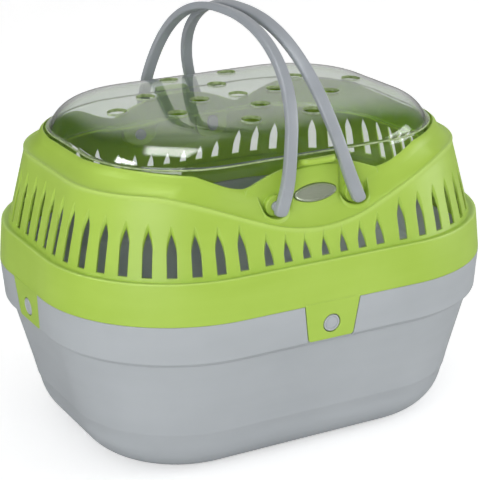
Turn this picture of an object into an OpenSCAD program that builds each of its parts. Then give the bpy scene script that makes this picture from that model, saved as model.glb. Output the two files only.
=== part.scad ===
/* [Body] */
// Length over the belt
body_l = 300; // [270:5:360]
// Depth over the belt
body_w = 235; // [195:5:290]
// Radius of the plan corners
corner_r = 90; // [80:1:95]
// Wall thickness of the opaque mouldings
wall = 2.4; // [2:0.1:3]

/* [Tub] */
// Height of the joint between the tub and the grille body
joint_z = 110; // [90:1:140]
// Outer radius between the floor and the wall
floor_r = 31; // [20:1:40]
// Inset of the tub wall for each millimetre further down
tub_lean = 0.27; // [0.15:0.01:0.3]
// Height of the stout band round the rim
band_h = 24.5; // [22:0.5:34]
// How far the band stands out from the wall below it
band_step = 4.2; // [2:0.5:6]
// How much the band narrows towards its lower edge
band_lean = 2; // [0:0.1:3]
// Height of the locating lip that enters the grille body
lip_h = 5.5; // [3:0.5:8]
// Thickness of the locating lip
lip_t = 2.1; // [1.5:0.1:3]

/* [Snap tabs] */
// Width of a tab at the joint
tab_w = 37.8; // [30:0.1:50]
// Width of a tab at its lower end
tab_w_low = 31.4; // [24:0.1:44]
// Thickness of a tab
tab_t = 2.2; // [1.6:0.1:3]
// Diameter of the tub's snap boss
boss_d = 10.8; // [8:0.1:14]
// Height of the boss below the joint
boss_drop = 14; // [12:0.5:14.5]
// Gap round a tab and round its boss
snap_gap = 0.6; // [0.4:0.1:1]

/* [Grille body] */
// Height of the smooth belt above the joint
belt_h = 27; // [20:0.5:35]
// How much the belt narrows up to its top edge
belt_lean = 2.2; // [0:0.1:4]
// Depth of the shoulder on top of the belt
shoulder_d = 5.5; // [3:0.1:7]
// Inset of the grille wall for each millimetre up
grille_lean = 0.258; // [0.15:0.002:0.3]
// Height of the grille wall at the ends
grille_h = 46; // [40:1:60]
// How far the crease dips in the middle of the front and the back
crease_dip = 29; // [20:0.5:32]
// Half length of the dip
crease_half = 112; // [100:1:114]
// Inset between the crease and the rim at the ends
collar_d = 11.4; // [8:0.1:13]
// Rise between the crease and the rim at the ends
collar_h = 10.8; // [8:0.1:14]
// Slope of the dipped collar, in degrees
collar_slope = 53.7; // [48:0.1:58]

/* [Slots] */
// Width of a slot
slot_w = 5.6; // [4:0.1:7]
// Distance between the slots of the front and back groups
front_pitch = 12.8; // [10:0.1:16]
// Slots in the front group and in the back group
front_slots = 7; // [3:2:9]
// Distance between the other slots, along the wall
side_pitch = 14.38; // [12:0.01:18]
// Open height of the slots in the middle of the front
slot_h_front = 9.5; // [6:0.5:12]
// Open height of the first slot beside the front group
slot_h_side = 21; // [14:0.5:24]
// Open height of the slots in the middle of the ends
slot_h_end = 33; // [24:0.5:36]
// Length of the pointed part of a slot, measured into the wall
slot_point = 5; // [3:0.5:7]

/* [Opening] */
// Inset of the opening at the front and the back
open_in = 26.5; // [25:0.1:30]
// Corner radius of the top opening
open_r = 68; // [56:1:70]
// Height of the ledge that carries the lid, above the belt
ledge_rise = 38.6; // [34:0.1:42]
// Width of the ledge
ledge_w = 4.5; // [3:0.1:6]
// Thickness of the ledge
ledge_t = 1.8; // [1.5:0.1:2.5]

/* [Humps] */
// Half length of a hump
hump_half = 45.5; // [40:0.5:50]
// Height of the hump's ends above the ledge
hump_foot = 4.2; // [3:0.1:8]
// Height of the hump's top above its ends
hump_rise = 11.7; // [8:0.1:14]
// How far the middle panel stands out from the hump
panel_d = 2.6; // [1.5:0.1:3.5]
// Width of the middle panel
panel_w = 32; // [30:0.5:34]
// Length of the thumb lip
thumb_l = 25; // [16:0.5:27]
// Outer radius of the thumb lip's roll
thumb_r = 10; // [7:0.5:12]
// Length of the badge
badge_l = 28.8; // [20:0.2:30]
// Height of the badge
badge_h = 11; // [8:0.2:14]
// Thickness of the badge
badge_t = 2; // [1:0.1:2.5]
// Depth of the badge's pocket
badge_sink = 1; // [0.5:0.1:1.5]

/* [Handles] */
// Distance between the two pivots of a side
pivot_gap = 54.8; // [50:0.2:60]
// Height of the pivots above the belt
pivot_rise = 31.7; // [28:0.1:36]
// Diameter of the handle pins
pin_d = 6; // [4:0.1:7]
// Diametral clearance of a pin in its bore
pin_fit = 0.1; // [0.05:0.01:0.15]
// Diameter of the snap head inside
head_d = 7.8; // [6.5:0.1:8.4]
// Height from the pivot to the middle of the grip
handle_h = 101.5; // [98:0.5:115]
// Width of a handle, seen from the front
handle_w = 7.4; // [5:0.1:9]
// Thickness of a handle, seen from the end
handle_t = 5; // [4:0.1:6]
// Diameter of the rounded end of an arm
arm_end_d = 10.8; // [9:0.1:12]
// Bow of an arm between the pivot and the grip
handle_bow = 5; // [2:0.5:6]
// Straight length of an arm above the pivot
arm_straight = 18; // [8:1:30]
// Lean of the left handle at rest, in degrees
lean_left = 10.8; // [8:0.1:16]
// Lean of the right handle at rest, in degrees
lean_right = 14.1; // [8:0.1:16]

/* [Lid] */
// Gap between the lid and the opening
lid_gap = 2.6; // [1:0.1:3.5]
// Wall thickness of the lid
lid_t = 2; // [1.5:0.1:3]
// Height of the lid's skirt
skirt_h = 15.7; // [10:0.1:20]
// Height of the dome above the skirt
dome_h = 20.7; // [12:0.1:30]
// Diameter of the vent holes
vent_d = 12.5; // [8:0.1:14]
// Spacing of the vents along the lid
vent_dx = 27.4; // [20:0.1:32]
// Spacing of the vents across the lid
vent_dy = 29.4; // [20:0.1:32]

/* [Hidden] */

// The plan is a rounded rectangle, and a profile is a list of [inset, height].
corner_x = body_l / 2 - corner_r;
corner_y = body_w / 2 - corner_r;
cut = 1;
round_steps = 10;

// Tub
lean_a = atan(tub_lean);
band_rise = 2.5;
band_z = joint_z - band_h;
waist_z = band_z - band_rise;
band_in_top = 0;
band_in_low = band_in_top + band_lean;
waist_in = band_in_low + band_step;
floor_tangent = floor_r * (1 - sin(lean_a));
floor_c = waist_in + tub_lean * (waist_z - floor_tangent) + floor_r * cos(lean_a);
lip_gap = 0.3;

// Snap tabs, with the pocket that each lies in
pocket_d = tab_t + snap_gap - 0.1;
pocket_wall = 1.9;
tab_drop = band_h - 0.4;
boss_z = joint_z - boss_drop;
boss_proud = 0.3;

// Grille body, with the points of the rounded top edge of its belt
shoulder_z = joint_z + belt_h;
belt_top = shoulder_z - 2.7;
belt_edge = [[0, belt_top], [0.4, shoulder_z - 1.6], [1.3, shoulder_z - 0.8]];
grille_in = band_in_top + belt_lean + shoulder_d;
crease_z = shoulder_z + grille_h;
crease_in = grille_in + grille_lean * grille_h;
rim_in = crease_in + collar_d;
rim_z = crease_z + collar_h;
collar_k = collar_h / collar_d;
grille_off = wall * sqrt(1 + pow(grille_lean, 2));
collar_off = wall * sqrt(1 + pow(collar_k, 2));
// Where the insides of the grille wall and of the collar meet
inner_crease_in = (grille_in + grille_off
    + grille_lean * (crease_z - collar_off - shoulder_z - collar_k * crease_in))
    / (1 - grille_lean * collar_k);
inner_crease_z = crease_z + collar_k * (inner_crease_in - crease_in) - collar_off;
top_z = rim_z + 40;
dip_steps = 44;
dip_end = 0.4;

// Slots
slot_z = shoulder_z - 0.4;
slot_line = grille_in + 2.4;
side_x = corner_x - 5;
side_run = corner_y + (corner_r - slot_line) * PI / 2 + corner_x - side_x;
side_slots = round(side_run / side_pitch);

// Opening, ledge and humps
open_l = body_l - 2 * rim_in;
open_w = body_w - 2 * open_in;
ledge_z = shoulder_z + ledge_rise;
rim_t = 2;
hump_y = open_w / 2 + wall;
hump_foot_z = ledge_z + hump_foot;
hump_top_z = hump_foot_z + hump_rise;
panel_y = hump_y + panel_d;
panel_z = shoulder_z + 29;
thumb_z = hump_top_z - 6.5;
thumb_y = open_w / 2 + thumb_r;
badge_z = thumb_z - 12.4;
badge_fit = 0.3;

// Handles, each in its own frame: pivot at the origin, grip straight above
pivot_x = pivot_gap / 2;
pivot_z = shoulder_z + pivot_rise;
niche_r = 10;
arm_gap = 1.5;
arm_y = panel_y + arm_gap;
pivot_boss_d = 13;
boss_gap = 0.3;
head_t = 2;
head_gap = 0.6;
grip_exp = 2.35;
grip_steps = 56;
bow_r = (pow(handle_h / 2, 2) + pow(handle_bow, 2)) / (2 * handle_bow);

// Lid
lid_l = open_l - 2 * lid_gap;
lid_w = open_w - 2 * lid_gap;
lid_r = open_r - lid_gap;
dome_steps = 14;
dome_flat = 6;
dome_shoulder = 1.4;
vents = [[0, 0], [1, 0], [0, 1], [1.97, 0.78], [3.07, 0], [0.78, 1.93]];

// ---- plan and sweep helpers ----

function arc(c, r, a0, a1, n) =
    [for (i = [0:n]) let (a = a0 + (a1 - a0) * i / n) [c[0] + r * cos(a), c[1] + r * sin(a)]];
function reversed(p) = [for (i = [len(p) - 1:-1:0]) p[i]];

// Turns [inset, height] into [distance from the corner's centre, height]
function from_corner(p, r) = [for (q = p) [r - q[0], q[1]]];

// Half depth of the plan at x, at a given inset
function plan_y(x, inset) = abs(x) <= corner_x ? body_w / 2 - inset
    : corner_y + sqrt(pow(corner_r - inset, 2) - pow(abs(x) - corner_x, 2));

// Sweeps the child profile round a plan with corner centres at (+-cx, +-cy)
module sweep_ring(cx, cy) {
    for (m = [0, 1], n = [0, 1]) mirror([m, 0, 0]) mirror([0, n, 0])
        translate([cx, cy, 0]) rotate_extrude(angle = 90) children();
    for (s = [0, 180]) rotate(s) {
        translate([cx, cy, 0]) rotate([90, 0, 0]) linear_extrude(2 * cy) children();
        rotate(90) translate([cy, cx, 0]) rotate([90, 0, 0]) linear_extrude(2 * cx) children();
    }
}

// The same with the middle filled between two heights
module sweep_solid(cx, cy, z0, z1) {
    sweep_ring(cx, cy) children();
    translate([-cx, -cy, z0]) cube([2 * cx, 2 * cy, z1 - z0]);
}

module body_ring(profile) {
    sweep_ring(corner_x, corner_y) polygon(from_corner(profile, corner_r));
}

module body_solid(profile, z0, z1) {
    sweep_solid(corner_x, corner_y, z0, z1)
        polygon(from_corner(concat([[corner_r, z0]], profile, [[corner_r, z1]]), corner_r));
}

// Upright prism with a rounded rectangle as its plan
module plan_prism(l, w, r, z0, z1) {
    translate([0, 0, z0]) linear_extrude(z1 - z0) {
        square([l, w - 2 * r], center = true);
        square([l - 2 * r, w], center = true);
        for (x = [-1, 1], y = [-1, 1]) translate([x * (l / 2 - r), y * (w / 2 - r)]) circle(r);
    }
}

// Puts the child on the front, right, back and left; it is drawn for the front
module four_sides() {
    for (s = [0, 1], a = [0, 180]) rotate(a + 90 * s)
        translate([0, s == 0 ? -body_w / 2 : -body_l / 2, 0]) children();
}

module front_and_back() {
    for (a = [0, 180]) rotate(a) children();
}

// ---- snap tabs ----

// Trapezoid of a tab, grown sideways, through the wall
module tab_prism(grow, z_low) {
    rotate([90, 0, 0]) translate([0, 0, -8]) linear_extrude(12)
        polygon([[-tab_w / 2 - grow, joint_z], [tab_w / 2 + grow, joint_z],
            [tab_w_low / 2 + grow, z_low], [-tab_w_low / 2 - grow, z_low]]);
}

// Layer of the band between two depths below its face
module band_layer(d0, d1, z_low) {
    body_ring([[band_in_top + d0, joint_z], [band_in_top + d1, joint_z],
        [band_in_low + d1, band_z], [band_in_low + d1, z_low],
        [band_in_low + d0, z_low], [band_in_low + d0, band_z]]);
}

// ---- tub ----

// Face of the tub from the floor to the band's foot, a given depth inside it
function tub_face(d) = concat(
    [for (i = [0:round_steps]) let (a = 90 - (90 - lean_a) * i / round_steps)
        [floor_c - (floor_r - d) * cos(a), floor_r - (floor_r - d) * sin(a)]],
    [[waist_in + d * sqrt(1 + pow(tub_lean, 2)), waist_z], [band_in_low + d, band_z]]);

// Inset of the belt's inside at a height, which the lip follows
function belt_inside(z) = band_in_top + wall
    + belt_lean * (z - joint_z + cut) / (belt_top - wall / 2 - joint_z + cut);

module tub_shell() {
    lip_low = belt_inside(joint_z) + lip_gap;
    lip_high = belt_inside(joint_z + lip_h) + lip_gap;
    inner = concat(tub_face(wall), [[band_in_top + wall, joint_z - 6],
        [lip_low + lip_t, joint_z - 1], [lip_high + lip_t, joint_z + lip_h]]);
    body_ring(concat([[corner_r, 0]], tub_face(0),
        [[band_in_top, joint_z], [lip_low, joint_z], [lip_high, joint_z + lip_h]],
        reversed(inner), [[corner_r, wall]]));
    translate([-corner_x, -corner_y, 0]) cube([2 * corner_x, 2 * corner_y, wall]);
}

module tub() {
    color([0.68, 0.7, 0.72]) {
        difference() {
            union() {
                tub_shell();
                intersection() {
                    four_sides() tab_prism(2.5, waist_z);
                    band_layer(cut, pocket_d + pocket_wall, waist_z);
                }
            }
            intersection() {
                four_sides() tab_prism(snap_gap, waist_z - 2);
                band_layer(-cut, pocket_d, waist_z - 2);
            }
        }
        intersection() {
            four_sides() translate([0, 0, boss_z]) rotate([90, 0, 0])
                translate([0, 0, -10]) cylinder(d = boss_d, h = 20, $fn = 48);
            band_layer(-boss_proud, pocket_d + pocket_wall / 2, waist_z);
        }
    }
}

// ---- grille body ----

module outer_form() {
    body_solid(concat([[band_in_top, joint_z]],
        [for (q = belt_edge) [band_in_top + belt_lean + q[0], q[1]]],
        [[grille_in, shoulder_z], [crease_in, crease_z], [rim_in, rim_z]]), joint_z, rim_z);
}

module inner_form() {
    body_solid([[band_in_top + wall, joint_z - cut],
        [band_in_top + belt_lean + wall, belt_top - wall / 2],
        [band_in_top + belt_lean + belt_edge[2][0] + wall, belt_edge[2][1] - wall],
        [grille_in + grille_off, shoulder_z - wall],
        [inner_crease_in, inner_crease_z],
        [rim_in, rim_z - collar_off]], joint_z - cut, rim_z - collar_off);
}

// Height of the crease at x, which ends just above the end walls' crease, and its
// distance from the middle plane
function dip_z(x) = crease_z + dip_end - (crease_dip + dip_end) * (1 + cos(180 * x / crease_half)) / 2;
function dip_y(x) = plan_y(x, grille_in + grille_lean * (dip_z(x) - shoulder_z));

// Everything above the dipped collar of the front; drop lowers its surface
module above_dip(drop) {
    surface = [for (i = [0:dip_steps]) let (x = crease_half * (2 * i / dip_steps - 1))
        [x, drop - dip_y(x) * sin(collar_slope) - dip_z(x) * cos(collar_slope)]];
    rotate([collar_slope - 90, 0, 0]) linear_extrude(240)
        polygon(concat(surface, [[crease_half, -400], [-crease_half, -400]]));
}

// U-shaped niche round a pivot, from the hump's face outwards
module niche(r, y) {
    for (x = [-pivot_x, pivot_x]) translate([x, -y, pivot_z]) rotate([90, 0, 0]) {
        cylinder(r = r, h = 60, $fn = 64);
        translate([-r, 0, 0]) cube([2 * r, 60, 60]);
    }
}

// Outline of a hump, standing in the XZ plane
module hump_outline(z0, grow) {
    polygon(concat([[hump_half, z0], [-hump_half, z0]],
        [for (i = [-16:16]) let (k = i / 16)
            [hump_half * k, hump_foot_z + grow + hump_rise * (1 - k * k)]]));
}

module hump() {
    rotate([90, 0, 0]) translate([0, 0, open_w / 2])
        linear_extrude(wall) hump_outline(ledge_z - ledge_t, 0);
    // Middle panel with slanted flanks
    intersection() {
        translate([0, 0, panel_z]) linear_extrude(hump_top_z - panel_z)
            polygon([[-panel_w / 2, -panel_y], [panel_w / 2, -panel_y],
                [panel_w / 2 + panel_d, -hump_y + cut], [-panel_w / 2 - panel_d, -hump_y + cut]]);
        rotate([90, 0, 0]) translate([0, 0, open_w / 2]) linear_extrude(30) hump_outline(panel_z, -2);
    }
    // Thumb lip, rolled outwards
    translate([-thumb_l / 2, -thumb_y, thumb_z]) rotate([90, 0, 90]) linear_extrude(thumb_l)
        difference() {
            intersection() {
                circle(r = thumb_r, $fn = 96);
                square(thumb_r);
            }
            circle(r = thumb_r - wall, $fn = 96);
        }
    for (x = [-pivot_x, pivot_x]) translate([x, -open_w / 2, pivot_z]) rotate([90, 0, 0])
        cylinder(d = pivot_boss_d, h = arm_y - boss_gap - open_w / 2, $fn = 64);
}

// Bullet-shaped prism that cuts one slot; its point is depth inside the belt's plan
module slot(depth, height) {
    linear_extrude(height)
        polygon([[cut * 4, -slot_w / 2], [cut * 4, slot_w / 2],
            for (i = [0:6]) let (k = i / 6)
                [-(depth - slot_point) - slot_point * k, slot_w / 2 * (1 - pow(k, 1.7))],
            for (i = [5:-1:0]) let (k = i / 6)
                [-(depth - slot_point) - slot_point * k, -slot_w / 2 * (1 - pow(k, 1.7))]]);
}

// Depth of a slot's point for the height at which it is still open inside
function slot_depth(open_h) = grille_in + grille_off + grille_lean * open_h;

module slots() {
    half = (front_slots - 1) / 2;
    front_and_back() for (i = [-half:half])
        let (x = i * front_pitch, open_h = slot_h_front + 4.5 * pow(i / half, 2))
            translate([x, -body_w / 2, slot_z]) rotate(-90)
                slot(slot_depth(open_h), min(open_h + 9, dip_z(x) - 1.5 - slot_z));
    // Along each quarter: s runs from the middle of the end towards the front
    for (m = [0, 1], n = [0, 1]) mirror([m, 0, 0]) mirror([0, n, 0])
        for (i = [n == 0 ? 0 : 1:side_slots])
            let (s = side_run * i / side_slots, turn = (s - corner_y) / (corner_r - slot_line) * 180 / PI,
                open_h = slot_h_end + (slot_h_side - slot_h_end) * i / side_slots)
                if (s <= corner_y) translate([body_l / 2, s, slot_z])
                    slot(slot_depth(open_h), open_h + 9);
                else if (turn <= 90) translate([corner_x, corner_y, slot_z]) rotate(turn)
                    translate([corner_r, 0, 0]) slot(slot_depth(open_h), open_h + 9);
                else translate([corner_x - (s - corner_y) + (corner_r - slot_line) * PI / 2,
                    body_w / 2, slot_z]) rotate(90) slot(slot_depth(open_h), open_h + 9);
}

module grille_shell() {
    difference() {
        outer_form();
        front_and_back() {
            above_dip(0);
            niche(niche_r, hump_y);
        }
        difference() {
            inner_form();
            front_and_back() {
                above_dip(wall);
                niche(niche_r + wall, open_w / 2);
            }
        }
        plan_prism(open_l, open_w, open_r, ledge_z - cut, top_z);
    }
}

// Wall of the opening, which goes down to the ledge
module opening_wall() {
    difference() {
        intersection() {
            outer_form();
            plan_prism(open_l + 2 * rim_t, open_w + 2 * rim_t, open_r + rim_t, ledge_z - ledge_t, top_z);
        }
        front_and_back() {
            above_dip(0);
            niche(niche_r, hump_y);
        }
        plan_prism(open_l, open_w, open_r, ledge_z, top_z);
        plan_prism(open_l - 2 * ledge_w, open_w - 2 * ledge_w, open_r - ledge_w, joint_z, top_z);
    }
}

module grille_body() {
    color([0.62, 0.76, 0.3]) {
        difference() {
            union() {
                grille_shell();
                opening_wall();
                front_and_back() hump();
            }
            slots();
            for (x = [-pivot_x, pivot_x]) translate([x, body_w / 2, pivot_z]) rotate([90, 0, 0])
                cylinder(d = pin_d + pin_fit, h = body_w, $fn = 64);
            // Spot faces that clear the snap heads
            front_and_back() for (x = [-pivot_x, pivot_x])
                translate([x, -open_w / 2, pivot_z]) rotate([-90, 0, 0])
                    cylinder(d = head_d + 2 * head_gap, h = head_t + boss_gap + cut, $fn = 64);
            translate([0, -panel_y + badge_sink, badge_z]) rotate([90, 0, 0])
                badge_form(badge_fit, 10);
        }
        difference() {
            intersection() {
                four_sides() tab_prism(0, joint_z - tab_drop);
                band_layer(0, tab_t, joint_z - tab_drop);
            }
            four_sides() translate([0, 0, boss_z]) rotate([90, 0, 0])
                translate([0, 0, -10]) cylinder(d = boss_d + 2 * snap_gap, h = 20, $fn = 48);
        }
    }
}

// ---- badge ----

// Oval of two arcs that meet at the ends
module badge_form(grow, h) {
    a = badge_l / 2;
    b = badge_h / 2;
    r = (a * a + b * b) / (2 * b);
    linear_extrude(h) intersection() {
        translate([0, b - r]) circle(r = r + grow, $fn = 180);
        translate([0, r - b]) circle(r = r + grow, $fn = 180);
        square([badge_l + 2 * grow, badge_h + 2 * grow], center = true);
    }
}

module badge() {
    color([0.72, 0.74, 0.73])
        translate([0, -panel_y + badge_sink, badge_z]) rotate([90, 0, 0]) badge_form(0, badge_t);
}

// ---- handles ----

// Outline of the loop seen from the end: straight arms below, a superellipse above
function loop_half(half_w, top) = concat([[half_w, 0]],
    [for (i = [0:grip_steps / 2]) let (a = 180 * i / grip_steps)
        [half_w * pow(cos(a), 2 / grip_exp),
            arm_straight + (top - arm_straight) * pow(sin(a), 2 / grip_exp)]]);
function loop_line(half_w, top) =
    concat(loop_half(half_w, top), reversed([for (p = loop_half(half_w, top)) [-p[0], p[1]]]));

// One handle, bowed towards +X
module handle() {
    intersection() {
        rotate([90, 0, 90]) translate([0, 0, -60]) linear_extrude(120) difference() {
            polygon(loop_line(arm_y + handle_t, handle_h + handle_t / 2));
            polygon(concat([[arm_y, -cut]], loop_half(arm_y, handle_h - handle_t / 2),
                reversed([for (p = loop_half(arm_y, handle_h - handle_t / 2)) [-p[0], p[1]]]),
                [[-arm_y, -cut]]));
        }
        translate([handle_bow - bow_r, body_w / 2 + 20, handle_h / 2]) rotate([90, 0, 0])
            difference() {
                cylinder(r = bow_r + handle_w / 2, h = body_w + 40, $fn = 720);
                translate([0, 0, -cut]) cylinder(r = bow_r - handle_w / 2, h = body_w + 42, $fn = 720);
            }
    }
    for (s = [0, 1]) mirror([0, s, 0]) rotate([90, 0, 0]) {
        translate([0, 0, arm_y]) cylinder(d = arm_end_d, h = handle_t, $fn = 64);
        translate([0, 0, open_w / 2 - boss_gap - head_t])
            cylinder(d = pin_d, h = arm_y - open_w / 2 + boss_gap + head_t + cut, $fn = 64);
        translate([0, 0, open_w / 2 - boss_gap - head_t]) cylinder(d = head_d, h = head_t, $fn = 64);
    }
}

module handle_left() {
    color([0.7, 0.71, 0.75]) translate([-pivot_x, 0, pivot_z]) rotate([0, lean_left, 0]) handle();
}

module handle_right() {
    color([0.7, 0.71, 0.75]) translate([pivot_x, 0, pivot_z]) rotate([0, -lean_right, 0])
        mirror([1, 0, 0]) handle();
}

// ---- lid ----

// Dome line from the skirt to the middle, a given depth below the face
function dome_line(d) = [for (i = [0:dome_steps]) let (t = pow(i / dome_steps, 2.2))
    [d + (lid_r - 2 * d) * t, ledge_z + skirt_h - d / 2
        + (dome_h - d / 2) * pow(1 - pow(1 - t, dome_flat), 1 / dome_shoulder)]];

module lid_form(d, z0) {
    top = ledge_z + skirt_h + dome_h - d;
    sweep_solid(lid_l / 2 - lid_r, lid_w / 2 - lid_r, z0, top)
        polygon(from_corner(concat([[lid_r, z0], [d, z0]], dome_line(d), [[lid_r, top]]), lid_r));
}

module lid() {
    color([0.8, 0.9, 0.8, 0.5]) difference() {
        lid_form(0, ledge_z);
        lid_form(lid_t, ledge_z - cut);
        for (v = vents, x = [-1, 1], y = [-1, 1])
            translate([x * v[0] * vent_dx, y * v[1] * vent_dy, ledge_z])
                cylinder(d = vent_d, h = skirt_h + dome_h + cut, $fn = 48);
    }
}

tub();
grille_body();
lid();
badge();
handle_left();
handle_right();
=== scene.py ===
import math

import bmesh
import bpy
import numpy as np
from mathutils import Matrix, Vector


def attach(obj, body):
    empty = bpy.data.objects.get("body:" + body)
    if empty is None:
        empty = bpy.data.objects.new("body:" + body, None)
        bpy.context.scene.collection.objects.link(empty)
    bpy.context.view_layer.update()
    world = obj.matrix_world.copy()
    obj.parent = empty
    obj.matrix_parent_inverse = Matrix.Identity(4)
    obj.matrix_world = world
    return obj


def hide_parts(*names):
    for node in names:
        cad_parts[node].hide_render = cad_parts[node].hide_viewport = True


# A pet keeper of moulded plastic: a grey tub, a green slotted upper body, a clear
# lid, a badge and two swing handles. Sizes are in millimetres until a mesh is made.

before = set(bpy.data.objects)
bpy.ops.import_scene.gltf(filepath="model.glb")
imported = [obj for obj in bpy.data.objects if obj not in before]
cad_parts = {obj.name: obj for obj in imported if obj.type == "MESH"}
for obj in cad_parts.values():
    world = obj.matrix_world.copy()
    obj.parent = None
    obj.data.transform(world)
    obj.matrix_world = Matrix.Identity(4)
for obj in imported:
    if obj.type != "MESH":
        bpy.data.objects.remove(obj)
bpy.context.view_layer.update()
MM = 0.001

# ---- sizes, as the parts are made ----
HALF_L, HALF_W, CORNER_R = 150.0, 117.5, 90.0
CORNER_X, CORNER_Y = HALF_L - CORNER_R, HALF_W - CORNER_R
WALL = 2.4
JOINT_Z, SHOULDER_Z = 110.0, 137.0
BELT_LEAN, GRILLE_IN, GRILLE_LEAN, GRILLE_WALL = 2.2, 7.7, 0.258, 1.5
GRILLE_OFF = GRILLE_WALL * math.hypot(1, GRILLE_LEAN)
SLOT_W, SLOT_FOOT_Z = 5.9, SHOULDER_Z + 0.2
CREASE_Z, RIM_Z, COLLAR_W = 183.0, 193.8, 11.4
CREASE_IN = GRILLE_IN + GRILLE_LEAN * (CREASE_Z - SHOULDER_Z)
COLLAR_K = (RIM_Z - CREASE_Z) / COLLAR_W
COLLAR_OFF = WALL * math.hypot(1, COLLAR_K)
COLLAR_SAG, ROLL_H, ROLL_PROUD = 2.3, 2.8, 0.95
DIP, DIP_END, DIP_HALF, DIP_SLOPE = 29.0, 0.4, 112.0, math.radians(53.7)
DIP_TAN = math.tan(DIP_SLOPE)
DIP_OFF = WALL / math.cos(DIP_SLOPE)
OPEN_L, OPEN_W, OPEN_R = 2 * (HALF_L - CREASE_IN - COLLAR_W), 182.0, 68.0
LEDGE_Z, LEDGE_W, LEDGE_T = 175.6, 4.5, 1.8
HUMP_HALF, HUMP_FOOT_Z, HUMP_RISE = 45.5, 179.8, 11.7
HUMP_Y, PANEL_D, PANEL_HALF = 93.4, 2.6, 16.0
PIVOT_X, PIVOT_Z, NICHE_R, NICHE_DEEP = 27.4, 168.7, 9.3, 6.7
THUMB_L, THUMB_R, THUMB_Z = 25.0, 10.0, 185.0
BADGE_Z, BADGE_L, BADGE_H = 172.6, 28.8, 11.0
BOSS_Z, BOSS_D, SNAP_GAP = 96.0, 10.8, 0.6
BAND_Z, BAND_LEAN, POCKET_D = 85.5, 2.0, 2.7
FLOOR_R, TUB_LEAN = 31.0, 0.27
TAB_Z, TAB_HALF, TAB_FLARE, TAB_CORNER = 85.9, 15.7, 3.2, 2.2
LID_GAP, LID_T, SKIRT_H, DOME_H = 2.6, 2.0, 15.7, 20.7
ARM_W, ARM_T, FOOT_W, FOOT_H = 3.7, 2.5, 4.2, 5.4
PIN_R, PIN_END, HEAD_R, HEAD_T = 3.0, 98.6, 3.9, 2.0
VENT_D = 12.5
FAR = 1e3  # stands for nowhere near
VENTS = [(0, 0), (27.4, 0), (0, 29.4), (54, 22.9), (84.1, 0), (21.4, 56.7)]


# ---- camera ----
def make_camera():
    """The photograph's viewpoint: 28 degrees to the left of the front, 19 above."""
    azimuth, elevation, roll = (math.radians(a) for a in (28.07, 19.37, -0.67))
    back = Vector((-math.sin(azimuth) * math.cos(elevation),
                   -math.cos(azimuth) * math.cos(elevation), math.sin(elevation)))
    right = Vector((math.cos(azimuth), -math.sin(azimuth), 0))
    up = back.cross(right)
    across = right * math.cos(roll) + up * math.sin(roll)
    upward = up * math.cos(roll) - right * math.sin(roll)
    place = Vector((0.14, -0.08, 113.24)) * MM + back * 1.08139
    data = bpy.data.cameras.new("camera")
    data.lens, data.sensor_width = 123.84, 36
    data.clip_start, data.clip_end = 0.05, 30
    camera = bpy.data.objects.new("camera", data)
    turn = Matrix((across, upward, back)).transposed().to_4x4()
    camera.matrix_world = Matrix.Translation(place) @ turn
    bpy.context.scene.collection.objects.link(camera)
    bpy.context.scene.camera = camera


make_camera()


# ---- shader helpers ----
class Value:
    """A shader number. Arithmetic on it adds Math nodes."""

    def __init__(self, finish, socket):
        self.finish, self.socket = finish, socket

    def _math(self, operation, *numbers):
        return self.finish.out("ShaderNodeMath", {"operation": operation}, *numbers)

    def __add__(self, other): return self._math("ADD", self, other)
    def __radd__(self, other): return self._math("ADD", other, self)
    def __sub__(self, other): return self._math("SUBTRACT", self, other)
    def __rsub__(self, other): return self._math("SUBTRACT", other, self)
    def __mul__(self, other): return self._math("MULTIPLY", self, other)
    def __rmul__(self, other): return self._math("MULTIPLY", other, self)

    def between(self, low, high):
        """0 at low, 1 at high, smooth in between."""
        return self.finish.out("ShaderNodeMapRange", {"interpolation_type": "SMOOTHSTEP"},
                               self, low, high)


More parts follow.
